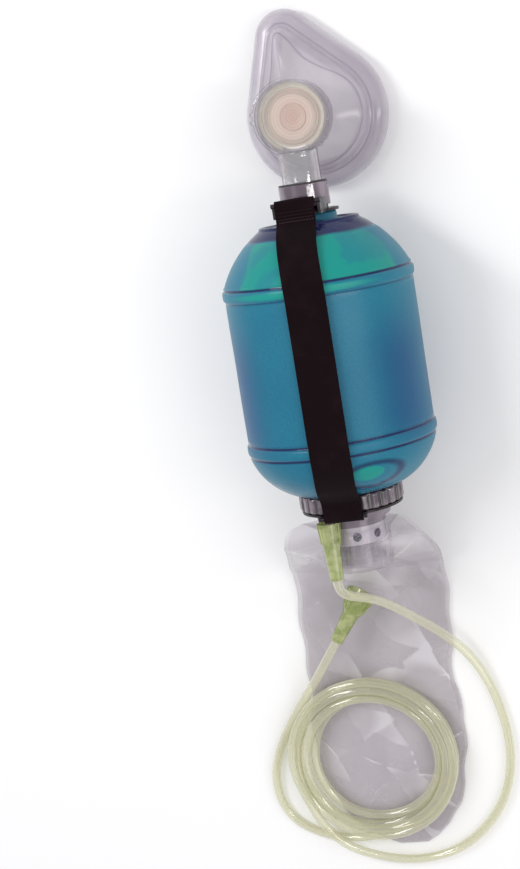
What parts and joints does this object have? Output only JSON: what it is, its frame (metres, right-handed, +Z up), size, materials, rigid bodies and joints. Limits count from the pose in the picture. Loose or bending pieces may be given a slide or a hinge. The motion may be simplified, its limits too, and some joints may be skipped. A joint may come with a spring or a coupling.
{
  "type": "bag valve mask",
  "caption": "Manual resuscitator: squeeze bag with hand strap, swivelling patient valve and face mask, intake valve, oxygen reservoir bag and coiled tubing.",
  "frame": {"origin": "on the resting surface, under the middle of the part without its tubing", "axes": "+Y along the bag's axis towards the face mask, +Z up from the resting surface, +X to the right looking along +Y"},
  "size_m": [0.1811, 0.6153, 0.1288],
  "materials": {
    "teal_bag": "translucent satin moulding",
    "smoky_clear": "smoky transparent moulding",
    "clear_hard": "clear transparent moulding",
    "clear_soft": "clear soft vinyl",
    "cream_silicone": "satin silicone",
    "seal_rubber": "matte rubber",
    "strap_web": "woven webbing",
    "dark_plastic": "satin moulding",
    "white_plastic": "satin moulding",
    "film": "thin creased film",
    "tubing": "soft clear vinyl",
    "green_soft": "soft translucent vinyl"
  },
  "bodies": {
    "bag": {"squeeze_bag": "teal_bag", "front_ferrule": "dark_plastic", "neck_collar": "smoky_clear", "neck_ring": "seal_rubber", "intake_body": "smoky_clear", "leaf_pin": "white_plastic", "reservoir_collar": "white_plastic", "vent_bars": "white_plastic", "reservoir_neck": "clear_hard", "reservoir_band": "clear_soft", "reservoir_bag": "film", "oxygen_connector": "green_soft", "tubing_lead": "tubing", "tubing_coil": "tubing", "tubing_tail": "tubing", "supply_connector": "green_soft"},
    "valve": {"valve_housing": "clear_hard", "valve_cap": "clear_hard", "inlet_seat": "clear_hard", "valve_base": "clear_hard"},
    "lip_disc": {"lip_valve": "cream_silicone"},
    "swivel": {"patient_connector": "clear_hard", "connector_seal": "seal_rubber"},
    "mask": {"mask_dome": "clear_hard", "mask_cushion": "clear_soft"},
    "strap": {"hand_strap": "strap_web", "strap_plate": "dark_plastic", "strap_rear_ring": "dark_plastic"},
    "clamp_ring": {"intake_ring": "smoky_clear"},
    "inlet_flap": {"intake_leaf": "cream_silicone"},
    "air_flap": {"air_inlet_leaf": "cream_silicone"},
    "overflow_flap": {"overflow_leaf": "cream_silicone"}
  },
  "joints": [
    {"name": "valve_swivel", "type": "hinge", "parent": "bag", "child": "valve", "pos_m": [0, 0, 0.0635], "axis": [0, 1, 0], "continuous": true},
    {"name": "mask_swivel", "type": "hinge", "parent": "valve", "child": "swivel", "pos_m": [0, 0.22756, 0.043], "axis": [0, 0, 1], "range_deg": [-120, 137]},
    {"name": "mask_pull_off", "type": "slide", "parent": "swivel", "child": "mask", "axis": [0, 0, -1], "range_m": [0, 0.022]},
    {"name": "lip_valve_lift", "type": "slide", "parent": "valve", "child": "lip_disc", "axis": [0, 0, 1], "range_m": [0, 0.0011]},
    {"name": "strap_swivel", "type": "hinge", "parent": "bag", "child": "strap", "pos_m": [0, 0, 0.0635], "axis": [0, 1, 0], "range_deg": [-50, 60]},
    {"name": "clamp_ring_turn", "type": "hinge", "parent": "bag", "child": "clamp_ring", "pos_m": [0, 0, 0.0635], "axis": [0, 1, 0], "range_deg": [0, 60]},
    {"name": "inlet_flap_lift", "type": "slide", "parent": "bag", "child": "inlet_flap", "axis": [0, 1, 0], "range_m": [0, 0.0018]},
    {"name": "air_flap_lift", "type": "slide", "parent": "bag", "child": "air_flap", "axis": [0, 1, 0], "range_m": [0, 0.0008]},
    {"name": "overflow_flap_lift", "type": "slide", "parent": "bag", "child": "overflow_flap", "axis": [0, 1, 0], "range_m": [0, 0.003]}
  ]
}
